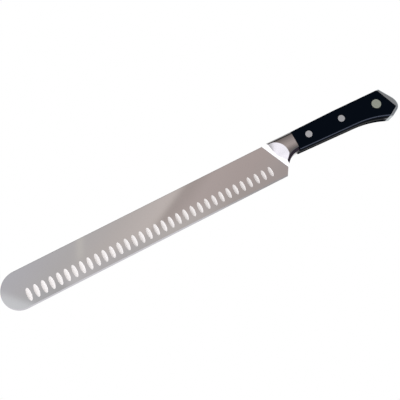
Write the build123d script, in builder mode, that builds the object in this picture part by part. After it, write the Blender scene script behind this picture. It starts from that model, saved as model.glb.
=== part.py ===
from build123d import *
import os
from dataclasses import dataclass
from math import acos, degrees, sqrt

# A bull-nosed carving knife lying on its right side. +X runs from the tip to the butt, +Y
# towards the spine and +Z out of the left side. The origin is under the knife's middle, at the
# height of the right scale's outer face. Runs are measured from the tip or from the front of
# the scales towards the butt, drops from the spine or from the scales' top, and setbacks from
# the rearmost point of a piece towards the tip.

blade_height = 38.7
handle_thickness = 17.0

# Blade: a flat grind of one section from the heel to the tip
spine_length = 293.5  # from the tip to the top of the plunge line
plunge_lean = 13.8  # how much nearer the butt the plunge line's foot is than its top
heel_height = 7.9  # from the cutting edge to the plunge line's foot
heel_setback = 4.9  # of the heel's corner from the plunge line's foot
spine_thickness = 2.5  # also of the whole tang
shoulder_thickness = 0.6  # what the flanks would leave at the cutting edge without a bevel
bevel_height = 1.5
bevel_tool_share = 4.0  # how far past its own height the bevel's grinding plane reaches

# Hollows ground in both flanks, those of the right side half a pitch further on
hollow_count = 34
first_hollow_run = 25.0
last_hollow_setback = 18.3  # from the plunge line's foot
hollow_row_height = 11.6  # above the cutting edge
wheel_radius = 66.0
wheel_rim_radius = 11.5
wheel_sweep_angle = 18.0
wheel_flat_shares = (-1.5, -0.45, 0.45, 1.5)  # corners of the rim's flats, of half a hollow's width
tip_hollow_depth = 0.34
heel_hollow_depth = 0.22

# Bolster: two cheeks on the blank, each scooped out towards the blade
neck_length = 31.5
neck_arc_run_share = 0.57
neck_arc_drop_share = 0.24
neck_bevel_run = 3.0  # of the steep bevel along the underside
neck_bevel_fall = 2.6
neck_ease_run = 1.3  # of the shallow bevel between it and the flat
neck_ease_fall = 0.4
scoop_radius = 14.2  # of the arched crease on the neck's flat
scoop_depth = 4.7  # of the scoop's cone, at its point
scoop_setback = 1.4  # of the cone's point from the plunge line
scoop_share = 0.515  # how far down the plunge line the cone's point is
ramp_run = 3.2  # of the steep ramp behind the plunge line
ramp_lip = 0.3

# Handle outline
handle_length = 113.0
handle_top_drop = 0.6
handle_front_height = 21.5
scale_step = 0.7  # how far the scales stand proud of the neck's underside
butt_height = 33.4
butt_top_setback = 9.8
butt_top_drop = 1.2
top_flat_share = 0.44
butt_foot_setback = 11.4
belly_flat_share = 0.575
belly_swell_share = 0.235  # of what the handle gains in height, at the end of the belly's flat
nose_drop_share = 0.674
brow_round = 16.0  # above the rearmost point
chin_round = 7.8  # below it
grip_round = 2.8  # along the top and around the butt
belly_round = 1.3

# The pointed end of the scales and the tang, which the butt cap is seated on
vee_top_setback = 13.4
vee_point_setback = 4.0
vee_point_drop_share = 0.769
vee_foot_setback = 17.3
vee_reach_share = 1.4  # how far the tool's sides are drawn past the handle
tongue_length = 10.0
tongue_depth = 2.0
tongue_clearance = 0.05

# Two-piece rivets, flush with the scales
small_head_diameter = 7.0
large_head_diameter = 9.6
small_tube_diameter = 4.6
large_tube_diameter = 6.0
head_height = 2.6
pin_diameter_share = 0.6
pin_length = 8.0
pin_end_gap = 1.0
rivet_clearance = 0.03
front_rivet_run = 15.3
rear_rivet_setback = 20.7
middle_rivet_share = 0.486  # of the way from the front rivet to the rear one
front_rivet_drop_share = 0.507  # of the handle's front height
middle_rivet_drop_share = 0.54
rear_rivet_drop_share = 0.431  # of the butt's height

overrun = 2.0  # of every cutting tool past what it cuts

half_handle = handle_thickness / 2
half_tang = spine_thickness / 2
foot_run = spine_length + plunge_lean
plunge_drop = blade_height - heel_height
handle_front = spine_length + neck_length
overall_length = handle_front + handle_length
flank_fall = (spine_thickness - shoulder_thickness) / 2 / blade_height
middle = Plane.XY.offset(half_handle)
tang_face = middle.offset(half_tang)


def point(run, drop):
    """A side-view point, from its run behind the tip and its drop below the spine."""
    return (run - overall_length / 2, blade_height / 2 - drop)


def handle_point(run, drop):
    """A side-view point, from its run behind the scales' front and its drop below their top."""
    return point(handle_front + run, handle_top_drop + drop)


def butt_point(setback, drop_share):
    """A side-view point, from its setback and the share of the butt's height that it is down."""
    return handle_point(handle_length - setback, butt_height * drop_share)


def between(start, end, share):
    """The point at a share of the way from one side-view point to another."""
    return (start[0] + (end[0] - start[0]) * share, start[1] + (end[1] - start[1]) * share)


# Named corners of the side view
tip_centre = point(blade_height / 2, blade_height / 2)
tip_spine = point(blade_height / 2, 0)
tip_edge = point(blade_height / 2, blade_height)
tip_point = point(0, blade_height / 2)
plunge_top = point(spine_length, 0)
plunge_foot = point(foot_run, plunge_drop)
heel_corner = point(foot_run - heel_setback, blade_height)
handle_top = handle_point(0, 0)
handle_foot = handle_point(0, handle_front_height)
neck_foot = handle_point(0, handle_front_height - scale_step)
top_bend = handle_point(handle_length * top_flat_share, 0)
butt_top = handle_point(handle_length - butt_top_setback, butt_top_drop)
nose_point = butt_point(0, nose_drop_share)
butt_foot = butt_point(butt_foot_setback, 1)
belly_bend = handle_point(
    handle_length * belly_flat_share,
    handle_front_height + (butt_height - handle_front_height) * belly_swell_share,
)
vee_top = butt_point(vee_top_setback, 0)
vee_point = butt_point(vee_point_setback, vee_point_drop_share)
vee_foot = butt_point(vee_foot_setback, 1)

tongue_plane = Plane(
    origin=(*between(vee_point, vee_top, 1 / 2), half_handle),
    x_dir=Vector(*vee_top) - Vector(*vee_point),
    z_dir=(0, 0, 1),
)


@dataclass
class Rivet:
    """A two-piece rivet: its side-view place and the diameters of its heads and its tube."""

    name: str
    spot: tuple
    head: float
    tube: float


rear_rivet_run = handle_length - rear_rivet_setback
middle_rivet_run = front_rivet_run + (rear_rivet_run - front_rivet_run) * middle_rivet_share
rivets = (
    Rivet(
        "front",
        handle_point(front_rivet_run, handle_front_height * front_rivet_drop_share),
        small_head_diameter,
        small_tube_diameter,
    ),
    Rivet(
        "middle",
        handle_point(middle_rivet_run, handle_front_height * middle_rivet_drop_share),
        small_head_diameter,
        small_tube_diameter,
    ),
    Rivet(
        "rear",
        handle_point(rear_rivet_run, butt_height * rear_rivet_drop_share),
        large_head_diameter,
        large_tube_diameter,
    ),
)


def neck_arc():
    """The bolster's concave underside, from the scales' front to the plunge line's foot."""
    crest = (
        neck_foot[0] - (neck_foot[0] - plunge_foot[0]) * neck_arc_run_share,
        neck_foot[1] - (neck_foot[1] - plunge_foot[1]) * neck_arc_drop_share,
    )
    return ThreePointArc(neck_foot, crest, plunge_foot)


def neck_outline():
    """The bolster's closed side view."""
    Line(plunge_top, handle_top)
    Line(handle_top, neck_foot)
    neck_arc()
    Line(plunge_foot, plunge_top)


def nose_touch(start, radius, side):
    """Where a line from a side-view point touches a round that ends in the rearmost point."""
    centre = Vector(*butt_point(radius, nose_drop_share))
    away = Vector(*start) - centre
    turn = side * degrees(acos(radius / away.length))
    return centre + away.normalized().rotate(Axis.Z, turn) * radius


def handle_outline():
    """The closed side view of the scales and the butt cap together, and its parts by name."""
    Line(handle_foot, handle_top)
    top = Line(handle_top, top_bend)
    slope = Line(top_bend, butt_top)
    brow = Line(butt_top, nose_touch(butt_top, brow_round, -1))
    nose = TangentArc(nose_point, brow @ 1, tangent=(0, 1))
    chin = TangentArc(nose_point, nose_touch(butt_foot, chin_round, 1), tangent=(0, -1))
    facet = Line(chin @ 1, butt_foot)
    belly = Line(handle_foot, belly_bend)
    belly_curve = TangentArc(belly_bend, butt_foot, tangent=belly % 1)
    return (top, slope, brow, nose, chin, facet), (belly, belly_curve)


def behind_vee():
    """The closed side view of all that lies behind the scales' pointed end."""
    high = between(vee_point, vee_top, vee_reach_share)
    low = between(vee_point, vee_foot, vee_reach_share)
    far = nose_point[0] + overrun
    Polyline(high, vee_point, low, (far, low[1]), (far, high[1]), close=True)


# The blade and its tang, one blank with the holes for the rivets
def half_thickness(drop):
    """Half of the ground blade's thickness at a drop below the spine."""
    return half_tang - flank_fall * drop


def hollow_tool(index, side):
    """The part of the grinding wheel that makes one hollow, side being 1 for the left flank."""
    share = index / (hollow_count - 1)
    depth = tip_hollow_depth + (heel_hollow_depth - tip_hollow_depth) * share
    pitch = (foot_run - last_hollow_setback - first_hollow_run) / (hollow_count - 1)
    run = first_hollow_run + pitch * (index + (0 if side > 0 else 1 / 2))
    drop = blade_height - hollow_row_height
    outward = Vector(0, -flank_fall, side).normalized()
    height = half_handle + side * half_thickness(drop)
    hub = Vector(*point(run, drop), height) + outward * (wheel_radius - depth)
    axle = Axis(hub, (1, 0, 0))
    half_width = sqrt(2 * wheel_rim_radius * depth - depth**2)
    across = [share * half_width for share in wheel_flat_shares]
    rim_centre = wheel_radius - wheel_rim_radius
    flats = [(x, rim_centre + sqrt(wheel_rim_radius**2 - x**2)) for x in across]
    with BuildPart() as wheel:
        with BuildSketch(Plane(origin=hub, x_dir=(1, 0, 0), z_dir=Vector(-1, 0, 0).cross(outward))):
            with BuildLine():
                Polyline(*flats, close=True)
            make_face()
        revolve(axis=axle, revolution_arc=wheel_sweep_angle)
    return wheel.part.rotate(axle, -wheel_sweep_angle / 2)


wheels = [hollow_tool(index, side) for side in (1, -1) for index in range(hollow_count)]

with BuildPart() as bevel_tool:
    shoulder = half_thickness(blade_height - bevel_height)
    reach = bevel_height * bevel_tool_share
    depth = shoulder * bevel_tool_share
    fade = bevel_height * half_thickness(blade_height / 2) / shoulder
    edge_start = (*tip_edge, half_handle)
    with BuildSketch(Plane(origin=edge_start, x_dir=(0, 1, 0), z_dir=(1, 0, 0))) as bevel_section:
        with BuildLine():
            back = -overrun
            Polyline((0, 0), (reach, depth), (back, depth), (back, -depth), (reach, -depth), close=True)
        make_face()
    extrude(amount=foot_run)
    add(bevel_section.sketch)
    revolve(axis=Axis((tip_centre[0], tip_centre[1] + fade, 0), (0, 0, -1)), revolution_arc=90)

with BuildPart() as blade:
    with BuildSketch(Plane(origin=(*point(-overrun, 0), half_handle), x_dir=(0, -1, 0), z_dir=(1, 0, 0))):
        with BuildLine():
            top = half_thickness(-overrun)
            low = half_thickness(blade_height + overrun)
            Polyline(
                (-overrun, top),
                (blade_height + overrun, low),
                (blade_height + overrun, -low),
                (-overrun, -top),
                close=True,
            )
        make_face()
    extrude(amount=foot_run + 2 * overrun)
    with BuildSketch(Plane.XY):
        with BuildLine():
            Line(plunge_top, plunge_foot)
            Line(plunge_foot, heel_corner)
            Line(heel_corner, tip_edge)
            ThreePointArc(tip_edge, tip_point, tip_spine)
            Line(tip_spine, plunge_top)
        make_face()
    extrude(amount=handle_thickness, mode=Mode.INTERSECT)
    add(bevel_tool.part, mode=Mode.SUBTRACT)
    add(wheels, mode=Mode.SUBTRACT)
    with BuildSketch(middle):
        with BuildLine():
            neck_outline()
        make_face()
        with BuildLine():
            handle_outline()
        make_face()
        with BuildLine():
            behind_vee()
        make_face(mode=Mode.SUBTRACT)
    extrude(amount=half_tang, both=True)
    with BuildSketch(tongue_plane):
        Rectangle(tongue_length, 2 * tongue_depth)
    extrude(amount=half_tang, both=True)
    for rivet in rivets:
        with Locations((*rivet.spot, half_handle + half_tang)):
            Hole(rivet.tube / 2 + rivet_clearance, depth=spine_thickness)

# The bolster's cheeks: an arched neck, bevelled along its underside and scooped towards the blade
underside = neck_arc()
arch_centre = underside.arc_center
with BuildPart() as neck_bevel_tool:
    low = -neck_bevel_fall - neck_ease_fall
    steep_end = underside.radius + neck_bevel_run
    arch_top = (arch_centre.X, arch_centre.Y, handle_thickness)
    with BuildSketch(Plane(origin=arch_top, x_dir=(1, 0, 0), z_dir=(0, -1, 0))):
        with BuildLine():
            Polyline(
                (underside.radius - overrun, overrun),
                (underside.radius - overrun, low),
                (underside.radius, low),
                (steep_end, -neck_ease_fall),
                (steep_end + neck_ease_run, 0),
                (steep_end + neck_ease_run, overrun),
                close=True,
            )
        make_face()
    revolve(axis=Axis(arch_centre, (0, 0, 1)))

with BuildPart() as bolster_left:
    with BuildSketch(tang_face):
        with BuildLine():
            neck_outline()
        make_face()
    extrude(amount=half_handle - half_tang)
    crown = Vector(*between(handle_top, plunge_top, 1 / 2), handle_thickness)
    fillet(bolster_left.edges().sort_by_distance(crown)[0], grip_round)
    add(neck_bevel_tool.part, mode=Mode.SUBTRACT)
    along = (Vector(*plunge_foot) - Vector(*plunge_top)).normalized()
    ramp_plane = Plane(
        origin=(*between(plunge_top, plunge_foot, 1 / 2), half_handle + half_tang + ramp_lip),
        x_dir=Vector(0, 0, 1).cross(along),
        z_dir=along,
    )
    rise = half_handle - half_tang - ramp_lip
    above = rise + overrun
    with BuildSketch(ramp_plane):
        with BuildLine():
            Polyline((0, 0), (ramp_run * above / rise, above), (-overrun, above), (-overrun, 0), close=True)
        make_face()
    extrude(amount=blade_height, both=True, mode=Mode.SUBTRACT)
    scoop_height = scoop_depth + overrun
    ramp_spot = Vector(*between(plunge_top, plunge_foot, scoop_share))
    scoop_spot = ramp_spot - ramp_plane.x_dir * scoop_setback
    with Locations((scoop_spot.X, scoop_spot.Y, handle_thickness - scoop_depth)):
        Cone(
            0,
            scoop_radius * scoop_height / scoop_depth,
            scoop_height,
            align=(Align.CENTER, Align.CENTER, Align.MIN),
            mode=Mode.SUBTRACT,
        )

with BuildPart() as bolster_right:
    mirror(bolster_left.part, about=middle)

# The handle is ground to one shape once it is riveted up, so its pieces share one form
with BuildPart() as handle_form:
    with BuildSketch(Plane.XY):
        with BuildLine():
            grip_lines, belly_lines = handle_outline()
        make_face()
    extrude(amount=handle_thickness)
    for lines, radius in ((grip_lines, grip_round), (belly_lines, belly_round)):
        edges = [
            handle_form.edges().sort_by_distance((line @ 0.5) + Vector(0, 0, height))[0]
            for line in lines
            for height in (0, handle_thickness)
        ]
        fillet(edges, radius)

with BuildPart() as vee_form:
    with BuildSketch(Plane.XY):
        with BuildLine():
            behind_vee()
        make_face()
    extrude(amount=handle_thickness)

with BuildPart() as scale_left:
    add(handle_form.part)
    add(vee_form.part, mode=Mode.SUBTRACT)
    split(bisect_by=tang_face, keep=Keep.TOP)
    for rivet in rivets:
        with Locations((*rivet.spot, handle_thickness)):
            CounterBoreHole(
                rivet.tube / 2 + rivet_clearance,
                rivet.head / 2 + rivet_clearance,
                head_height,
                handle_thickness,
            )

with BuildPart() as scale_right:
    mirror(scale_left.part, about=middle)

# The butt cap, with a pocket for the tongue on the tang's end
with BuildPart() as butt_cap:
    add(handle_form.part)
    add(vee_form.part, mode=Mode.INTERSECT)
    with BuildSketch(tongue_plane):
        Rectangle(tongue_length + 2 * tongue_clearance, 2 * (tongue_depth + tongue_clearance))
    extrude(amount=half_tang + tongue_clearance, both=True, mode=Mode.SUBTRACT)

pieces = {
    "blade": blade,
    "bolster_left": bolster_left,
    "bolster_right": bolster_right,
    "scale_left": scale_left,
    "scale_right": scale_right,
    "butt_cap": butt_cap,
}

# Each rivet is a tube with a head on the left side, and a pin with a head driven into it
for rivet in rivets:
    pin_radius = rivet.tube / 2 * pin_diameter_share
    with BuildPart() as rivet_tube:
        with BuildSketch(Plane.XY.offset(handle_thickness)):
            with Locations(rivet.spot):
                Circle(rivet.head / 2)
        extrude(amount=-head_height)
        with BuildSketch(Plane.XY.offset(head_height)):
            with Locations(rivet.spot):
                Circle(rivet.tube / 2)
        extrude(amount=handle_thickness - 2 * head_height)
        with BuildSketch(Plane.XY.offset(head_height)):
            with Locations(rivet.spot):
                Circle(pin_radius)
        extrude(amount=pin_length + pin_end_gap, mode=Mode.SUBTRACT)
    with BuildPart() as rivet_pin:
        with BuildSketch(Plane.XY):
            with Locations(rivet.spot):
                Circle(rivet.head / 2)
        extrude(amount=head_height)
        with BuildSketch(Plane.XY.offset(head_height)):
            with Locations(rivet.spot):
                Circle(pin_radius - rivet_clearance)
        extrude(amount=pin_length)
    pieces[f"{rivet.name}_rivet_tube"] = rivet_tube
    pieces[f"{rivet.name}_rivet_pin"] = rivet_pin

os.makedirs("parts", exist_ok=True)
for name, piece in pieces.items():
    piece.part.label = name
    export_step(piece.part, f"parts/{name}.step")
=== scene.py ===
"""Dresses a bull-nosed carving knife and sets it in a plain white studio."""

import logging
from collections.abc import Callable
from dataclasses import dataclass, field
from enum import Enum
from math import radians, sqrt

import bpy
from mathutils import Euler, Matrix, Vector

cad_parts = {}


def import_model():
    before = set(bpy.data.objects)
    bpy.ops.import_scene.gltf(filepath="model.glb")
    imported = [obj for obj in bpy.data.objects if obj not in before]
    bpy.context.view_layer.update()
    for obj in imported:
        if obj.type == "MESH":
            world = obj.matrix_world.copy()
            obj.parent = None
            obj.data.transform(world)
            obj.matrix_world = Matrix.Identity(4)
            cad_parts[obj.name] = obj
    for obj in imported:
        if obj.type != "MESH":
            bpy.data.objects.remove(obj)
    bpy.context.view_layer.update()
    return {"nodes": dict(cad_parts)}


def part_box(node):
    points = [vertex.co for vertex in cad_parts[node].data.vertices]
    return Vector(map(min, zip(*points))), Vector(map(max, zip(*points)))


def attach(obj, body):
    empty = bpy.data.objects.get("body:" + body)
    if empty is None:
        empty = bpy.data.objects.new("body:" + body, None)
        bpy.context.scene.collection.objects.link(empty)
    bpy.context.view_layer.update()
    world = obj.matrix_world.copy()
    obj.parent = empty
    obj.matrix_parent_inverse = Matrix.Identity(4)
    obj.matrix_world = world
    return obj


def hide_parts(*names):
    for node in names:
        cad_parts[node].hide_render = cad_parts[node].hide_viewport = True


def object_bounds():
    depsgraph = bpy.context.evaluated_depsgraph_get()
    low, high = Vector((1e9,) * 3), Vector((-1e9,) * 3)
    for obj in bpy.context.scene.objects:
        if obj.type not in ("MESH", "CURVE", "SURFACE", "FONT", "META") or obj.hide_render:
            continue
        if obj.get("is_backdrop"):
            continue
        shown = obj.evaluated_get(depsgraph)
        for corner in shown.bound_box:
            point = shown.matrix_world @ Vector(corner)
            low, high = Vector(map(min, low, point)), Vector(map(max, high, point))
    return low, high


logging.basicConfig(level=logging.INFO, format="%(message)s")
log = logging.getLogger("carving_knife")

MM = 0.001
BODY = "root"

Triple = tuple[float, float, float]
Colour = Triple
Span = tuple[float, float]
Socket = bpy.types.NodeSocket
Tree = bpy.types.NodeTree
Piece = bpy.types.Object
Face = bpy.types.MeshPolygon

WHITE: Colour = (1.0, 1.0, 1.0)
# A limit that no direction in the studio reaches
OPEN = 10000.0


class Axis(Enum):
    """The directions of the knife's own frame."""

    LENGTH = 0
    HEIGHT = 1
    THICKNESS = 2


class Bench:
    """Lays out nodes in one tree, so that a finish reads as a short list of steps."""

    def __init__(self, tree: Tree) -> None:
        """Starts with an empty tree.

        Args:
            tree: the node tree of a material, a world or a group.
        """
        self.tree = tree
        tree.nodes.clear()

    def add(self, kind: str, **settings: object) -> bpy.types.Node:
        """Adds one node.

        Args:
            kind: Blender's name of the node type.
            settings: attributes to set on it.

        Returns:
            The new node.
        """
        node = self.tree.nodes.new(kind)
        for name, value in settings.items():
            setattr(node, name, value)
        return node

    def feed(self, target: Socket, source: object) -> None:
        """Links a socket or sets a plain value on an input.

        Args:
            target: the input socket.
            source: another node's output, or a number, colour or vector.
        """
        if isinstance(source, Socket):
            self.tree.links.new(source, target)
        elif target.type == "RGBA":
            target.default_value = (*source, 1.0)
        else:
            target.default_value = source

    def math(self, operation: str, first: object, second: object = 0.0) -> Socket:
        """One step of arithmetic.

        Args:
            operation: Blender's name of the operation.
            first: the first number or socket.
            second: the second number or socket.

        Returns:
            The result's socket.
        """
        node = self.add("ShaderNodeMath", operation=operation)
        self.feed(node.inputs[0], first)
        self.feed(node.inputs[1], second)
        return node.outputs[0]

    def total(self, first: object, *others: object) -> Socket:
        """Adds numbers up.

        Args:
            first: the first number or socket.
            others: what is added to it.

        Returns:
            The sum's socket.
        """
        for other in others:
            first = self.math("ADD", first, other)
        return first

    def product(self, first: object, *others: object) -> Socket:
        """Multiplies numbers.

        Args:
            first: the first number or socket.
            others: what it is multiplied by.

        Returns:
            The product's socket.
        """
        for other in others:
            first = self.math("MULTIPLY", first, other)
        return first

    def split(self, vector: Socket) -> tuple[Socket, Socket, Socket]:
        """Takes a vector apart.

        Args:
            vector: the vector's socket.

        Returns:
            The sockets of its three parts.
        """
        node = self.add("ShaderNodeSeparateXYZ")
        self.feed(node.inputs[0], vector)
        return tuple(node.outputs)

    def ramp(self, value: object, low: float, high: float, start: float = 0.0, end: float = 1.0) -> Socket:
        """A soft step: start below low, end above high, and a smooth change between them.

        Args:
            value: the number that is read.
            low: where the change begins.
            high: where it is over.
            start: the result below low.
            end: the result above high.

        Returns:
            The result's socket.
        """
        node = self.add("ShaderNodeMapRange", interpolation_type="SMOOTHSTEP")
        self.feed(node.inputs["Value"], value)
        for name, number in (("From Min", low), ("From Max", high), ("To Min", start), ("To Max", end)):
            node.inputs[name].default_value = number
        return node.outputs["Result"]

    def window(self, value: object, low: float, high: float, soft: float) -> Socket:
        """A soft gate: one between two limits and zero outside them.

        Args:
            value: the number that is read.
            low: the lower limit.
            high: the upper limit.
            soft: how wide each side's change is.

        Returns:
            The result's socket.
        """
        rising = self.ramp(value, low - soft / 2, low + soft / 2)
        falling = self.ramp(value, high - soft / 2, high + soft / 2, 1.0, 0.0)
        return self.product(rising, falling)

    def tones(self, value: object, stops: dict[float, Colour]) -> Socket:
        """A colour that changes along a number, through named stops.

        Args:
            value: the number that is read.
            stops: the colour at each value of the number, in rising order.

        Returns:
            The colour's socket.
        """
        low, high = min(stops), max(stops)
        spread = self.add("ShaderNodeMapRange", interpolation_type="LINEAR")
        self.feed(spread.inputs["Value"], value)
        spread.inputs["From Min"].default_value = low
        spread.inputs["From Max"].default_value = high
        node = self.add("ShaderNodeValToRGB")
        self.feed(node.inputs[0], spread.outputs["Result"])
        marks = node.color_ramp.elements
        while len(marks) < len(stops):
            marks.new(1.0)
        for mark, (where, colour) in zip(marks, stops.items()):
            mark.position = (where - low) / (high - low)
            mark.color = (*colour, 1.0)
        return node.outputs["Color"]

    def mix(self, share: object, first: object, second: object) -> Socket:
        """Blends two colours.

        Args:
            share: how much of the second colour is taken.
            first: the colour at a share of zero.
            second: the colour at a share of one.

        Returns:
            The blended colour's socket.
        """
        node = self.add("ShaderNodeMix", data_type="RGBA")
        self.feed(node.inputs["Factor"], share)
        self.feed(node.inputs["A"], first)
        self.feed(node.inputs["B"], second)
        return node.outputs["Result"]

    def mix_number(self, share: object, first: float, second: float) -> Socket:
        """Blends two numbers, by a share of the second one."""
        return self.total(self.product(share, second - first), first)

    def tint(self, colour: object, value: Socket) -> Socket:
        """A colour made lighter or darker by a number.

        Args:
            colour: the colour to change.
            value: what it is multiplied by.

        Returns:
            The changed colour's socket.
        """
        node = self.add("ShaderNodeVectorMath", operation="SCALE")
        self.feed(node.inputs[0], colour)
        self.feed(node.inputs["Scale"], value)
        return node.outputs[0]


# Patterns that several finishes share
@dataclass
class PatternShelf:
    """The shader groups, each built once."""

    groups: dict[str, Tree] = field(default_factory=dict)

    def noise(self, name: str, **settings: float) -> Tree:
        """A group of soft noise about zero, whose fineness and amount each material sets.

        Args:
            name: the group's name.
            settings: the noise's other inputs, by name.

        Returns:
            The group, built on the first call.
        """
        if name in self.groups:
            return self.groups[name]
        tree = bpy.data.node_groups.new(name, "ShaderNodeTree")
        bench = Bench(tree)
        new_socket = tree.interface.new_socket
        new_socket("Place", in_out="INPUT", socket_type="NodeSocketVector")
        for label in ("Fineness", "Amount"):
            new_socket(label, in_out="INPUT", socket_type="NodeSocketFloat")
        new_socket("Marks", in_out="OUTPUT", socket_type="NodeSocketFloat")
        given = bench.add("NodeGroupInput").outputs
        noise = bench.add("ShaderNodeTexNoise", noise_dimensions="3D")
        bench.feed(noise.inputs["Vector"], given["Place"])
        bench.feed(noise.inputs["Scale"], given["Fineness"])
        for label, number in settings.items():
            noise.inputs[label].default_value = number
        centred = bench.math("SUBTRACT", noise.outputs["Fac"], 0.5)
        marks = bench.product(centred, given["Amount"])
        bench.feed(bench.add("NodeGroupOutput").inputs["Marks"], marks)
        self.groups[name] = tree
        return tree

    def grinding_lines(self) -> Tree:
        """Fine lines that a belt leaves, drawn out along one direction by the place's scaling."""
        return self.noise("grinding_lines", Detail=4.0, Roughness=0.65)

    def handling(self) -> Tree:
        """Soft clouds where a surface has been wiped and handled."""
        return self.noise("handling", Detail=3.0, Distortion=0.6)


SHELF = PatternShelf()


def place(bench: Bench, scale: Triple = (1.0, 1.0, 1.0), centre: Triple = (0.0, 0.0, 0.0)) -> Socket:
    """The place on the knife, stretched or centred for a pattern.

    Args:
        bench: the material's bench.
        scale: how much the pattern is drawn together along each axis.
        centre: the point, in metres, that becomes the pattern's middle.

    Returns:
        The vector's socket.
    """
    source = bench.add("ShaderNodeTexCoord")
    mapping = bench.add("ShaderNodeMapping", vector_type="POINT")
    bench.feed(mapping.inputs["Vector"], source.outputs["Object"])
    mapping.inputs["Scale"].default_value = scale
    mapping.inputs["Location"].default_value = tuple(-c * s for c, s in zip(centre, scale))
    return mapping.outputs["Vector"]


def middle_plane() -> float:
    """How high the middle of the blade's thickness is over the floor."""
    low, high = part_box("blade")
    return (low.z + high.z) / 2


def pattern(bench: Bench, tree: Tree, where: Socket, fineness: float, amount: float) -> Socket:
    """Places one of the shelf's groups in a material.

    Args:
        bench: the material's bench.
        tree: the group.
        where: the place that it reads.
        fineness: how many marks there are in one unit of the place.
        amount: how far the marks go from zero.

    Returns:
        The marks' socket.
    """
    node = bench.add("ShaderNodeGroup", node_tree=tree)
    bench.feed(node.inputs["Place"], where)
    bench.feed(node.inputs["Fineness"], fineness)
    bench.feed(node.inputs["Amount"], amount)
    return node.outputs["Marks"]


@dataclass(frozen=True)
class Finish:
    """What every finish has: a name, a colour and how rough it is, with clouds of handling."""

    name: str
    colour: Colour
    roughness: float
    metallic: float = 1.0
    cloud_fineness: float = 45.0
    cloud_amount: float = 0.10

    def open(self) -> tuple[bpy.types.Material, Bench, bpy.types.Node]:
        """Makes the material and its shader.

        Returns:
            The material, its bench and its Principled shader.
        """
        material = bpy.data.materials.new(self.name)
        material.use_nodes = True
        bench = Bench(material.node_tree)
        shader = bench.add("ShaderNodeBsdfPrincipled")
        output = bench.add("ShaderNodeOutputMaterial")
        bench.feed(output.inputs["Surface"], shader.outputs["BSDF"])
        bench.feed(shader.inputs["Base Color"], self.colour)
        bench.feed(shader.inputs["Roughness"], self.roughness)
        bench.feed(shader.inputs["Metallic"], self.metallic)
        return material, bench, shader

    def cloud(self, bench: Bench) -> Socket:
        """The clouds of handling on this finish, about zero."""
        return pattern(bench, SHELF.handling(), place(bench), self.cloud_fineness, self.cloud_amount)


@dataclass(frozen=True)
class GroundSteel(Finish):
    """Steel with the fine lines of its last grinding."""

    line_direction: Axis = Axis.HEIGHT
    line_spacing: float = 0.25 * MM
    line_length: float = 12.0 * MM
    line_contrast: float = 0.12
    line_depth: float = 0.0

    def lines(self, bench: Bench) -> Socket:
        """The grinding lines on this steel, about zero.

        Args:
            bench: the material's bench.

        Returns:
            The lines' socket.
        """
        steps = [self.line_length if axis is self.line_direction else self.line_spacing for axis in Axis]
        where = place(bench, tuple(1 / step for step in steps))
        return pattern(bench, SHELF.grinding_lines(), where, fineness=1.0, amount=self.line_contrast)

    def build(self) -> bpy.types.Material:
        """Makes the material.

        Returns:
            The finished material.
        """
        material, bench, shader = self.open()
        lines = self.lines(bench)
        cloud = self.cloud(bench)
        bench.feed(shader.inputs["Base Color"], bench.tint(self.colour, bench.total(lines, cloud, 1.0)))
        bench.feed(shader.inputs["Roughness"], bench.total(cloud, self.roughness))
        if self.line_depth:
            bump = bench.add("ShaderNodeBump")
            bump.inputs["Distance"].default_value = self.line_depth
            bench.feed(bump.inputs["Height"], lines)
            bench.feed(shader.inputs["Normal"], bump.outputs["Normal"])
        return material


@dataclass(frozen=True)
class BrushedSteel(GroundSteel):
    """Steel whose grinding lines are deep enough to catch the light."""

    line_depth: float = 0.02 * MM


@dataclass(frozen=True)
class FlankSteel(GroundSteel):
    """The polished flanks, with a painted shade line along the spine and painted shade over the tang."""

    cloud_fineness: float = 20.0
    cloud_amount: float = 0.05
    # painted shade: a darker line along the spine
    spine_shade_colour: Colour = (0.21, 0.205, 0.205)
    spine_shade_line: Span = (0.5 * MM, 0.1 * MM)
    # painted shade: the tang is darkened behind the front of the scales
    tang_shade_colour: Colour = (0.045, 0.048, 0.063)
    tang_shade_fade: float = 1.0 * MM

    def build(self) -> bpy.types.Material:
        """Makes the material.

        Returns:
            The finished material.
        """
        material, bench, shader = self.open()
        low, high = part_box("blade")
        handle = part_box("scale_left")[0].x - low.x
        run, rise, _ = bench.split(place(bench, centre=(low.x, high.y, 0.0)))
        # painted shade: the darker line along the spine
        spine = bench.ramp(rise, *(-depth for depth in self.spine_shade_line))
        # painted shade: the tang is darkened from the front of the scales back
        tang = bench.ramp(run, handle - self.tang_shade_fade, handle)
        colour = bench.mix(spine, self.colour, self.spine_shade_colour)
        colour = bench.mix(tang, colour, self.tang_shade_colour)
        shade = bench.total(self.lines(bench), self.cloud(bench), 1.0)
        bench.feed(shader.inputs["Base Color"], bench.tint(colour, shade))
        return material


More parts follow.
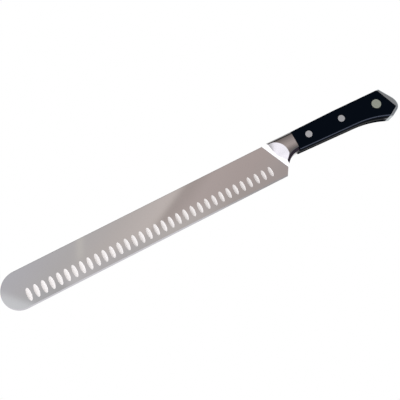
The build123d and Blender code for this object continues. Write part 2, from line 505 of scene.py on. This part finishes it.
@dataclass(frozen=True)
class ScoopedSteel(GroundSteel):
    """The bolster's steel: lines across the neck, a fan of lines in the scoop over a painted reflection, and
    a painted white highlight on the ramp.

    The scoop is a cone. Its point is scoop_setback before the plunge line, and scoop_share of the way
    down it. The ramp climbs from ramp_lip over the tang, at the plunge line, to the neck's face within
    ramp_run. A margin says how far off such a form a surface begins to lose its look and where it has
    lost it. The neck's tones are painted shade in bands across its flat face, named by how many
    millimetres they lie below its top.
    """

    # painted reflection: the scoop's steel is painted paler than the neck
    scoop_reflection_colour: Colour = (0.725, 0.72, 0.75)
    # painted highlight: the ramp is painted near-white
    ramp_highlight_colour: Colour = (0.98, 0.98, 0.98)
    scoop_roughness: float = 0.22
    plunge_lean: float = 13.8 * MM
    scoop_radius: float = 14.2 * MM
    scoop_depth: float = 4.7 * MM
    scoop_setback: float = 1.4 * MM
    scoop_share: float = 0.515
    scoop_rim: float = 0.2 * MM
    scoop_margin: Span = (0.05 * MM, 0.12 * MM)
    ramp_run: float = 3.2 * MM
    ramp_lip: float = 0.3 * MM
    ramp_margin: Span = (0.15 * MM, 0.3 * MM)
    fan_fineness: float = 1.8
    fan_contrast: float = 0.22
    fan_drift: float = 25.0
    neck_top: Span = (5.4 * MM, 6.0 * MM)
    # painted shade: darker and lighter bands across the neck's height
    neck_shade_tones: dict[float, float] = field(
        default_factory=lambda: {
            0.8: 1.0,
            1.8: 0.8,
            3.0: 0.40,
            4.5: 0.52,
            7.5: 0.74,
            10.0: 0.88,
            12.0: 0.94,
            13.4: 0.84,
            15.0: 0.66,
            17.0: 0.44,
        }
    )

    def build(self) -> bpy.types.Material:
        """Makes the material.

        Returns:
            The finished material.
        """
        material, bench, shader = self.open()
        low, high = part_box("bolster_left")
        middle = middle_plane()
        face, tang = high.z - middle, low.z - middle
        top = Vector((low.x, high.y, 0.0))
        along = Vector((low.x + self.plunge_lean, low.y, 0.0)) - top
        back = Vector((-along.y, along.x, 0.0)).normalized()
        apex = top + along * self.scoop_share - back * self.scoop_setback
        east, north, side = bench.split(place(bench, centre=(apex.x, apex.y, middle)))
        outward = bench.math("ABSOLUTE", side)
        reach = bench.math("SQRT", bench.total(bench.product(east, east), bench.product(north, north)))
        behind = bench.total(bench.product(east, back.x), bench.product(north, back.y))
        scoop = self.in_scoop(bench, reach, outward, face)
        ramp = self.on_ramp(bench, behind, outward, face, tang)

        drop = bench.math("DIVIDE", bench.math("SUBTRACT", high.y - apex.y, north), MM)
        # painted shade across the neck's flat face
        neck_shade = bench.tones(drop, {depth: (tone, tone, tone) for depth, tone in self.neck_shade_tones.items()})
        neck = bench.ramp(outward, *self.neck_top)
        colour = bench.mix(neck, self.colour, bench.tint(self.colour, neck_shade))
        # painted reflection over the scoop
        colour = bench.mix(scoop, colour, self.scoop_reflection_colour)
        # painted highlight over the ramp
        colour = bench.mix(ramp, colour, self.ramp_highlight_colour)

        lines = self.lines(bench)
        turned = bench.math("SUBTRACT", self.fan(bench, bench.math("ARCTAN2", north, east), reach), lines)
        shade = bench.total(lines, bench.product(scoop, turned), self.cloud(bench), 1.0)
        bench.feed(shader.inputs["Base Color"], bench.tint(colour, shade))
        bright = bench.math("MAXIMUM", scoop, ramp)
        bench.feed(shader.inputs["Roughness"], bench.mix_number(bright, self.roughness, self.scoop_roughness))
        return material

    def in_scoop(self, bench: Bench, reach: Socket, outward: Socket, face: float) -> Socket:
        """Where the surface lies on the scoop's cone.

        Args:
            bench: the material's bench.
            reach: how far a place is from the cone's point, seen from the side.
            outward: how far it is from the knife's middle plane.
            face: how far the neck's face is from that plane.

        Returns:
            The share's socket, one in the scoop.
        """
        slope = self.scoop_depth / self.scoop_radius
        cone = bench.total(bench.product(reach, slope), face - self.scoop_depth)
        off_cone = bench.math("ABSOLUTE", bench.math("SUBTRACT", outward, cone))
        half_rim = self.scoop_rim / 2
        inside = bench.ramp(reach, self.scoop_radius - half_rim, self.scoop_radius + half_rim, 1.0, 0.0)
        return bench.product(bench.ramp(off_cone, *self.scoop_margin, 1.0, 0.0), inside)

    def on_ramp(self, bench: Bench, behind: Socket, outward: Socket, face: float, tang: float) -> Socket:
        """Where the surface lies on the steep ramp behind the plunge line.

        Args:
            bench: the material's bench.
            behind: how far a place is behind the scoop's point, square to the plunge line.
            outward: how far it is from the knife's middle plane.
            face: how far the neck's face is from that plane.
            tang: how far the tang's face is from it.

        Returns:
            The share's socket, one on the ramp.
        """
        rise = (face - tang - self.ramp_lip) / self.ramp_run
        base = tang + self.ramp_lip - self.scoop_setback * rise
        wall = bench.total(bench.product(behind, rise), base)
        off_wall = bench.math("ABSOLUTE", bench.math("SUBTRACT", outward, wall))
        return bench.ramp(off_wall, *self.ramp_margin, 1.0, 0.0)

    def fan(self, bench: Bench, angle: Socket, reach: Socket) -> Socket:
        """Grinding lines that spread from the scoop's point.

        Args:
            bench: the material's bench.
            angle: a place's direction from the point.
            reach: its distance from the point.

        Returns:
            The lines' socket.
        """
        turn = bench.add("ShaderNodeCombineXYZ")
        bench.feed(turn.inputs["X"], angle)
        bench.feed(turn.inputs["Y"], bench.product(reach, self.fan_drift))
        return pattern(bench, SHELF.grinding_lines(), turn.outputs[0], self.fan_fineness, self.fan_contrast)


@dataclass(frozen=True)
class MouldedBlack(Finish):
    """The black of the scales, moulded and then ground smooth, with a painted bluish sheen on its rounded
    edges towards the belly.
    """

    metallic: float = 0.0
    cloud_fineness: float = 60.0
    cloud_amount: float = 0.16
    specular_level: float = 0.02
    refraction: float = 1.25
    # painted sheen on the faces that lean down towards the belly
    belly_sheen_colour: Colour = (0.075, 0.090, 0.125)
    belly_sheen_slope: Span = (-0.7, -0.1)
    belly_sheen_soft: float = 0.15

    def build(self) -> bpy.types.Material:
        """Makes the material.

        Returns:
            The finished material.
        """
        material, bench, shader = self.open()
        shader.inputs["Specular IOR Level"].default_value = self.specular_level
        shader.inputs["IOR"].default_value = self.refraction
        bench.feed(shader.inputs["Roughness"], bench.total(self.cloud(bench), self.roughness))
        # painted sheen, placed by how far the surface leans down towards the belly
        _, lean, _ = bench.split(bench.add("ShaderNodeTexCoord").outputs["Normal"])
        belly_sheen = bench.window(lean, *self.belly_sheen_slope, self.belly_sheen_soft)
        bench.feed(shader.inputs["Base Color"], bench.mix(belly_sheen, self.colour, self.belly_sheen_colour))
        return material


def dress(piece: Piece, material: bpy.types.Material) -> None:
    """Gives a whole piece one material."""
    piece.data.materials.clear()
    piece.data.materials.append(material)


def pick_only(*pieces: Piece) -> None:
    """Selects some pieces and makes the first one active.

    Args:
        pieces: the pieces to work on.
    """
    bpy.ops.object.select_all(action="DESELECT")
    for piece in pieces:
        piece.select_set(True)
    bpy.context.view_layer.objects.active = pieces[0]


def pick_faces(piece: Piece, wanted: Callable[[Face], bool]) -> int:
    """Selects the faces of a piece that pass a test, in edit mode.

    Args:
        piece: the active piece, in object mode.
        wanted: the test.

    Returns:
        How many faces are selected.
    """
    bpy.ops.object.mode_set(mode="EDIT")
    bpy.ops.mesh.select_mode(type="FACE")
    bpy.ops.mesh.select_all(action="DESELECT")
    bpy.ops.object.mode_set(mode="OBJECT")
    found = 0
    for face in piece.data.polygons:
        face.select = wanted(face)
        found += face.select
    bpy.ops.object.mode_set(mode="EDIT")
    return found


@dataclass
class Blade:
    """The blade with its tang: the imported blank, with its hollows ground in again as smooth dishes.

    The row's first hollow is first_run behind the tip, and its last one is last_setback before the
    foot of the plunge line. The right row is further back by right_row_offset of the pitch. A hollow
    is as long as a wheel of wheel_radius leaves it, and as wide as the rounding of the wheel's rim
    makes it. The fields from weld_gap on say which packed faces are flank, hollow or bevel.
    """

    flank_finish: FlankSteel = FlankSteel("flank_steel", (0.44, 0.433, 0.433), 0.05, line_contrast=0.05)
    # the hollows' ground steel, painted near-white as a highlight
    hollow_finish_and_highlight: GroundSteel = GroundSteel(
        "hollow_steel", (0.92, 0.91, 0.885), 0.40, metallic=0.6, line_contrast=0.08
    )
    edge_finish: GroundSteel = GroundSteel(
        "edge_steel", (0.47, 0.47, 0.48), 0.16, line_contrast=0.5, line_direction=Axis.LENGTH
    )
    shoulder_thickness: float = 0.6 * MM
    plunge_lean: float = ScoopedSteel.plunge_lean
    hollow_count: int = 34
    first_run: float = 25.2 * MM
    last_setback: float = 18.1 * MM
    row_height: float = 11.9 * MM
    right_row_offset: float = 0.5
    wheel_radius: float = 66.0 * MM
    rim_radius: float = 8.5 * MM
    tip_depth: float = 0.34 * MM
    heel_depth: float = 0.22 * MM
    dish_facets: int = 36
    dish_cut: float = 0.72
    dish_brim: float = 0.75
    weld_gap: float = 0.001 * MM
    flat_gap: float = 0.012 * MM
    flat_cosine: float = 0.99999
    side_cosine: float = 0.9
    bevel_gap: float = 0.02 * MM
    row_reach: float = 8.0 * MM
    row_start: float = 18.0 * MM
    row_end: float = 12.0 * MM

    def __post_init__(self) -> None:
        """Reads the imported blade's corners, its taper and the foot of the plunge line."""
        self.low, self.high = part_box("blade")
        self.middle = middle_plane()
        self.half_spine = (self.high.z - self.low.z) / 2
        self.fall = (self.half_spine - self.shoulder_thickness / 2) / (self.high.y - self.low.y)
        self.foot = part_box("bolster_left")[0].x + self.plunge_lean

    def build(self, nodes: dict[str, Piece]) -> list[Piece]:
        """Grinds the hollows and dresses the blade.

        Args:
            nodes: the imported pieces, by name.

        Returns:
            The ground blade.
        """
        blade = self.blank(nodes["blade"])
        self.grind(blade, self.grinding_tool())
        self.mark_edge(blade)
        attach(blade, BODY)
        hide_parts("blade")
        return [blade]

    def flank_normal(self, side: int) -> Vector:
        """The direction that a flank faces: the left one for 1 and the right one for -1."""
        return Vector((0.0, -self.fall, side)).normalized()

    def half_thickness(self, height: float) -> float:
        """Half the blade's thickness at a height on it."""
        return self.half_spine - self.fall * (self.high.y - height)

    def sunk(self, spot: Vector) -> float:
        """How far a point lies under the plane of its flank."""
        return self.half_thickness(spot.y) - abs(spot.z - self.middle)

    def blank(self, node: Piece) -> Piece:
        """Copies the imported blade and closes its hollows, so that both flanks are one plane each.

        Args:
            node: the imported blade.

        Returns:
            The blank.
        """
        pick_only(node)
        bpy.ops.object.duplicate()
        blade = bpy.context.object
        blade.name = "ground_blade"
        dress(blade, self.flank_finish.build())
        bpy.ops.object.mode_set(mode="EDIT")
        bpy.ops.mesh.select_all(action="SELECT")
        bpy.ops.mesh.remove_doubles(threshold=self.weld_gap)
        bpy.ops.mesh.customdata_custom_splitnormals_clear()
        bpy.ops.object.mode_set(mode="OBJECT")
        for side in (1, -1):
            found = pick_faces(blade, lambda face: self.on_flank(face, side))
            bpy.ops.mesh.delete(type="FACE")
            bpy.ops.mesh.select_mode(type="EDGE")
            bpy.ops.mesh.select_all(action="DESELECT")
            bpy.ops.mesh.select_non_manifold(
                extend=False, use_wire=True, use_multi_face=False, use_non_contiguous=False, use_verts=False
            )
            bpy.ops.mesh.edge_face_add()
            bpy.ops.object.mode_set(mode="OBJECT")
            log.info("blade: side %d closed over %d faces", side, found)
        for face in blade.data.polygons:
            face.use_smooth = False
        return blade

    def on_flank(self, face: Face, side: int) -> bool:
        """Whether a face is part of one ground flank or of a hollow in it.

        Args:
            face: the face.
            side: 1 for the left flank and -1 for the right one.

        Returns:
            Whether it is.
        """
        spot = face.center
        if (spot.z - self.middle) * side < 0 or spot.x > self.foot:
            return False
        level = face.normal.dot(self.flank_normal(side)) > self.flat_cosine
        if level and abs(self.sunk(spot)) < self.flat_gap:
            return True
        in_row = abs(spot.y - self.low.y - self.row_height) < self.row_reach
        in_run = self.low.x + self.row_start < spot.x < self.foot - self.row_end
        return in_row and in_run and face.normal.z * side > self.side_cosine

    def grinding_tool(self) -> Piece:
        """Models one dish and sets a copy of it over every hollow.

        Returns:
            All the dishes as one piece.
        """
        bpy.ops.object.select_all(action="DESELECT")
        facets = self.dish_facets
        bpy.ops.mesh.primitive_uv_sphere_add(segments=facets, ring_count=facets, radius=1.0)
        dish = bpy.context.object
        dish.name = "hollow_dish"
        bpy.ops.object.mode_set(mode="EDIT")
        bpy.ops.mesh.select_all(action="SELECT")
        brim = -self.dish_cut * self.dish_brim
        bpy.ops.mesh.bisect(plane_co=(0, 0, brim), plane_no=(0, 0, 1), use_fill=True, clear_outer=True)
        bpy.ops.object.mode_set(mode="OBJECT")
        bpy.ops.object.shade_smooth()
        # ground steel with a painted near-white highlight
        dress(dish, self.hollow_finish_and_highlight.build())
        copies = []
        for side in (1, -1):
            for index in range(self.hollow_count):
                pick_only(dish)
                bpy.ops.object.duplicate()
                copy = bpy.context.object
                self.set_dish(copy, index, side)
                copies.append(copy)
        bpy.data.objects.remove(dish)
        pick_only(*copies)
        bpy.ops.object.transform_apply(location=True, rotation=True, scale=True)
        bpy.ops.object.join()
        return bpy.context.object

    def set_dish(self, dish: Piece, index: int, side: int) -> None:
        """Sizes one dish and sets it into its flank.

        The dish is the cap of a unit ball. The flank's plane meets it at dish_cut below the ball's
        middle, and the cap's flat top is at dish_brim of that, clear of the flank.

        Args:
            dish: the copy to place.
            index: which hollow it is, from the tip.
            side: 1 for the left flank and -1 for the right one.
        """
        gaps = self.hollow_count - 1
        share = index / gaps
        depth = self.tip_depth + (self.heel_depth - self.tip_depth) * share
        pitch = (self.foot - self.last_setback - self.low.x - self.first_run) / gaps
        run = self.first_run + pitch * (index + (0 if side > 0 else self.right_row_offset))
        rim = sqrt(1 - self.dish_cut**2)
        half_length = sqrt(2 * self.wheel_radius * depth)
        half_width = sqrt(2 * self.rim_radius * depth)
        stretch = depth / (1 - self.dish_cut)
        height = self.low.y + self.row_height
        spot = Vector((self.low.x + run, height, self.middle + side * self.half_thickness(height)))
        normal = self.flank_normal(side)
        dish.scale = (half_width / rim, half_length / rim, stretch)
        dish.rotation_euler = Vector((0, 0, 1)).rotation_difference(normal).to_euler()
        dish.location = spot + normal * stretch * self.dish_cut

    def grind(self, blade: Piece, tool: Piece) -> None:
        """Cuts the dishes out of the blank.

        Args:
            blade: the blank.
            tool: all the dishes.
        """
        pick_only(blade)
        cut = blade.modifiers.new("hollows", "BOOLEAN")
        cut.operation = "DIFFERENCE"
        cut.solver = "EXACT"
        cut.material_mode = "TRANSFER"
        cut.object = tool
        bpy.ops.object.modifier_apply(modifier=cut.name)
        bpy.data.objects.remove(tool)

    def mark_edge(self, blade: Piece) -> None:
        """Gives the ground bevel along the cutting edge its own finish.

        Args:
            blade: the ground blade.
        """
        pick_only(blade)
        bpy.ops.object.material_slot_add()
        blade.material_slots[blade.active_material_index].material = self.edge_finish.build()
        pick_faces(blade, self.on_bevel)
        bpy.ops.object.material_slot_assign()
        bpy.ops.object.mode_set(mode="OBJECT")

    def on_bevel(self, face: Face) -> bool:
        """Whether a face is part of the ground bevel.

        Args:
            face: the face.

        Returns:
            Whether it is.
        """
        spot = face.center
        if face.material_index or spot.x > self.foot or abs(face.normal.z) < self.side_cosine:
            return False
        return self.sunk(spot) > self.bevel_gap


@dataclass
class Bolster:
    """The two cheeks between the blade and the handle."""

    finish: ScoopedSteel = ScoopedSteel("scooped_steel", (0.455, 0.447, 0.447), 0.12)

    def build(self, nodes: dict[str, Piece]) -> list[Piece]:
        """Dresses both cheeks.

        Args:
            nodes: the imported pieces, by name.

        Returns:
            The cheeks.
        """
        cheeks = [nodes[f"bolster_{side}"] for side in ("left", "right")]
        material = self.finish.build()
        for cheek in cheeks:
            dress(cheek, material)
        return cheeks


@dataclass
class Handle:
    """The scales, their rivets and the butt cap."""

    scale_finish: MouldedBlack = MouldedBlack("moulded_black", (0.0022, 0.0042, 0.0080), 0.40)
    cap_finish: BrushedSteel = BrushedSteel("brushed_cap", (0.41, 0.44, 0.455), 0.12)
    rivet_finish: BrushedSteel = BrushedSteel("brushed_rivet", (0.575, 0.63, 0.66), 0.25)
    rear_rivet_finish: BrushedSteel = BrushedSteel("brushed_rear_rivet", (0.50, 0.57, 0.49), 0.25)

    def build(self, nodes: dict[str, Piece]) -> list[Piece]:
        """Dresses the scales, the cap and the rivets.

        Args:
            nodes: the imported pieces, by name.

        Returns:
            All of them.
        """
        black = self.scale_finish.build()
        steel = self.rivet_finish.build()
        finishes = {"scale_left": black, "scale_right": black, "butt_cap": self.cap_finish.build()}
        rivets = {"front": steel, "middle": steel, "rear": self.rear_rivet_finish.build()}
        for rivet, material in rivets.items():
            for half in ("tube", "pin"):
                finishes[f"{rivet}_rivet_{half}"] = material
        for name, material in finishes.items():
            dress(nodes[name], material)
        return [nodes[name] for name in finishes]


@dataclass(frozen=True)
class Viewpoint:
    """Where the camera stands: above the left side, a little towards the edge and the tip."""

    pivot: Vector = Vector((-6.26, -0.55, 8.5)) * MM
    distance: float = 500.0 * MM
    nearest: float = 10.0 * MM
    tilt: float = 12.0
    roll: float = 0.19
    turn: float = -27.32
    lens: float = 45.23

    def build(self) -> None:
        """Adds the camera and makes it the scene's own."""
        bpy.ops.object.camera_add()
        camera = bpy.context.object
        camera.name = "camera"
        camera.data.lens = self.lens
        camera.data.clip_start = self.nearest
        camera.rotation_euler = Euler([radians(a) for a in (self.tilt, self.roll, self.turn)])
        back = camera.rotation_euler.to_matrix() @ Vector((0, 0, 1))
        camera.location = self.pivot + back * self.distance
        bpy.context.scene.camera = camera


@dataclass
class Floor:
    """The plain white floor, with a shade on it along the handle that only mirrors show.

    The shade reaches shade_reach to each side of the scales, and ends shade_setback before the butt.
    """

    span: float = 6.0
    seen_glow: float = 1.0
    mirrored_glow: float = 1.0
    shade_glow: float = 0.18
    shade_reach: float = 20.0 * MM
    shade_setback: float = 11.0 * MM
    shade_soft: float = 4.0 * MM

    def build(self) -> None:
        """Lays the floor under the knife."""
        low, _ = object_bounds()
        bpy.ops.mesh.primitive_plane_add(size=self.span, location=(0, 0, low[2]))
        floor = bpy.context.object
        floor.name = "floor"
        material = bpy.data.materials.new("floor_white")
        material.use_nodes = True
        bench = Bench(material.node_tree)
        glow = bench.add("ShaderNodeEmission")
        path = bench.add("ShaderNodeLightPath")
        seen = bench.product(path.outputs["Is Camera Ray"], self.seen_glow)
        bench.feed(glow.inputs["Strength"], bench.math("MAXIMUM", seen, self.mirrored(bench)))
        output = bench.add("ShaderNodeOutputMaterial")
        bench.feed(output.inputs["Surface"], glow.outputs[0])
        dress(floor, material)
        floor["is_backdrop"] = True

    def mirrored(self, bench: Bench) -> Socket:
        """How bright the floor is in a mirror: white, and dark along the handle.

        Args:
            bench: the floor's bench.

        Returns:
            The brightness.
        """
        front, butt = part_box("scale_left")
        run, rise, _ = bench.split(place(bench))
        length = bench.window(run, front.x, butt.x - self.shade_setback, self.shade_soft)
        width = bench.window(rise, front.y - self.shade_reach, butt.y + self.shade_reach, self.shade_soft)
        return bench.mix_number(bench.product(length, width), self.mirrored_glow, self.shade_glow)


@dataclass(frozen=True)
class Panel:
    """A soft-edged patch of the surroundings, placed on the ceiling that Studio describes.

    Its sides along and across the knife are where its edges are half faded, over a width of softness.
    """

    along: Span
    across: Span
    softness: Span
    glow: Colour

    def paint(self, bench: Bench, shade: object, u: Socket, v: Socket) -> Socket:
        """Paints the panel over what is there already.

        Args:
            bench: the world's bench.
            shade: the colour of what is there already.
            u: the direction's place along the knife.
            v: its place across the knife.

        Returns:
            The colour's socket.
        """
        share = bench.product(
            bench.window(u, *self.along, self.softness[0]),
            bench.window(v, *self.across, self.softness[1]),
        )
        return bench.mix(share, shade, self.glow)


@dataclass(frozen=True)
class Band:
    """The even tones over the blade, which its flank and the neck mirror.

    Its far side is towards the spine and its near side towards the edge, which falls back over the
    bolster. The lower tones lie over the row of hollows and the upper ones over the rest, divided
    by a slanting border. A pale corner lies over the nose and a pale streak over the flank. A span
    says where a change begins and where it is over, but for the streak's, which are its two sides.
    """

    start: Span = (-0.38, -0.34)
    end: Span = (0.515, 0.545)
    far: Span = (0.24, 0.28)
    near_blade: float = 0.05
    near_bolster: float = -0.28
    near_change: Span = (0.10, 0.20)
    near_soft: float = 0.02
    border_slope: float = 1.918
    border_start: float = 0.268
    row_line: Span = (0.118, 0.136)
    corner_tone: Colour = (1.24, 1.27, 1.31)
    corner_slope: float = 0.975
    corner: Span = (-0.196, -0.176)
    streak_tone: Colour = (1.09, 1.05, 1.00)
    streak_slope: float = 0.45
    streak_start: float = 0.234
    streak: Span = (-0.008, 0.006)
    streak_soft: float = 0.006
    streak_foot: Span = (0.136, 0.15)
    upper_tones: dict[float, Colour] = field(
        default_factory=lambda: {
            -0.38: (0.94, 0.94, 1.00),
            -0.22: (0.93, 0.90, 0.90),
            -0.12: (1.00, 0.93, 0.90),
            -0.03: (1.11, 1.01, 0.97),
            -0.009: (1.11, 1.01, 0.96),
            0.009: (0.75, 0.66, 0.63),
            0.03: (0.78, 0.68, 0.65),
            0.08: (0.90, 0.78, 0.75),
            0.20: (0.85, 0.73, 0.70),
            0.30: (0.79, 0.70, 0.68),
        }
    )
    lower_tones: dict[float, Colour] = field(
        default_factory=lambda: {
            -0.26: (0.87, 0.87, 0.89),
            -0.225: (0.81, 0.80, 0.81),
            -0.20: (1.06, 1.04, 1.06),
            -0.15: (0.95, 0.92, 0.93),
            -0.06: (0.92, 0.89, 0.89),
            0.02: (0.99, 0.93, 0.90),
            0.09: (0.94, 0.87, 0.85),
            0.16: (0.80, 0.72, 0.69),
            0.30: (0.75, 0.66, 0.64),
        }
    )

    def paint(self, bench: Bench, shade: object, u: Socket, v: Socket) -> Socket:
        """Paints the band over what is there already.

        Args:
            bench: the world's bench.
            shade: the colour of what is there already.
            u: the direction's place along the knife.
            v: its place across the knife.

        Returns:
            The colour's socket.
        """
        near = bench.mix_number(bench.ramp(u, *self.near_change), self.near_blade, self.near_bolster)
        share = bench.product(
            bench.ramp(u, *self.start),
            bench.ramp(v, *self.far, 1.0, 0.0),
            bench.ramp(bench.math("SUBTRACT", v, near), -self.near_soft, self.near_soft),
            bench.ramp(u, *self.end, 1.0, 0.0),
        )
        return bench.mix(share, shade, self.tones(bench, u, v))

    def tones(self, bench: Bench, u: Socket, v: Socket) -> Socket:
        """The band's own tones.

        Args:
            bench: the world's bench.
            u: the direction's place along the knife.
            v: its place across the knife.

        Returns:
            The colour's socket.
        """
        lean = bench.product(v, self.border_slope)
        border = bench.total(bench.math("SUBTRACT", u, lean), self.border_start)
        upper = bench.tones(border, self.upper_tones)
        lower = bench.tones(u, self.lower_tones)
        tones = bench.mix(bench.ramp(v, *self.row_line), lower, upper)
        corner = bench.ramp(bench.total(u, bench.product(v, self.corner_slope)), *self.corner, 1.0, 0.0)
        tones = bench.mix(corner, tones, self.corner_tone)
        lean = bench.product(v, self.streak_slope)
        slant = bench.math("SUBTRACT", bench.total(u, self.streak_start), lean)
        streak = bench.window(slant, *self.streak, self.streak_soft)
        streak = bench.product(streak, bench.ramp(v, *self.streak_foot))
        return bench.mix(streak, tones, self.streak_tone)


@dataclass
class Studio:
    """A grey room with a white softbox overhead, that the steel mirrors.

    A direction is read as the point (u, v) where it meets a ceiling one unit up. The flats see a
    band of even tones, and the slopes beside them see the white of the softbox. The lamp is
    beyond the tip, the doorway before the edge and the shelf behind the spine.
    """

    room_tone: Colour = (0.56, 0.55, 0.56)
    wall_tone: Colour = (0.48, 0.465, 0.465)
    wall_change: Span = (0.0, 0.4)
    shelf: Panel = Panel((0.15, 0.75), (0.24, 3.5), (0.3, 0.2), (0.155, 0.14, 0.14))
    doorway: Panel = Panel((-0.05, OPEN), (-OPEN, -1.45), (0.3, 0.5), (0.127, 0.10, 0.148))
    softbox: Panel = Panel((-1.3, 0.14), (-1.3, 1.3), (0.16, 0.3), (1.25, 1.22, 1.27))
    lamp: Panel = Panel((-3.2, -1.3), (-1.5, -0.1), (0.3, 0.3), (3.0, 2.97, 3.03))
    band: Band = Band()
    lowest_rise: float = 0.001

    def build(self) -> None:
        """Paints the world and sets the colour management."""
        scene = bpy.context.scene
        scene.view_settings.view_transform = "Standard"
        world = bpy.data.worlds.new("studio")
        scene.world = world
        world.use_nodes = True
        bench = Bench(world.node_tree)
        along, across, up = bench.split(bench.add("ShaderNodeTexCoord").outputs["Generated"])
        safe = bench.math("MAXIMUM", up, self.lowest_rise)
        u = bench.math("DIVIDE", along, safe)
        v = bench.math("DIVIDE", across, safe)
        shade = bench.mix(bench.ramp(v, *self.wall_change), self.room_tone, self.wall_tone)
        for patch in (self.shelf, self.doorway, self.softbox, self.lamp, self.band):
            shade = patch.paint(bench, shade, u, v)
        path = bench.add("ShaderNodeLightPath")
        shade = bench.mix(path.outputs["Is Camera Ray"], shade, WHITE)
        glow = bench.add("ShaderNodeBackground")
        bench.feed(glow.inputs["Color"], shade)
        output = bench.add("ShaderNodeOutputWorld")
        bench.feed(output.inputs["Surface"], glow.outputs[0])


def main() -> None:
    """Builds the knife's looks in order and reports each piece."""
    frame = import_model()
    bpy.ops.object.select_all(action="DESELECT")
    for part in (Blade(), Bolster(), Handle()):
        for piece in part.build(frame["nodes"]):
            finishes = ", ".join(material.name for material in piece.data.materials)
            log.info("%s: %d faces, %s", piece.name, len(piece.data.polygons), finishes)
    for setting in (Viewpoint(), Floor(), Studio()):
        setting.build()


if __name__ == "__main__":
    main()
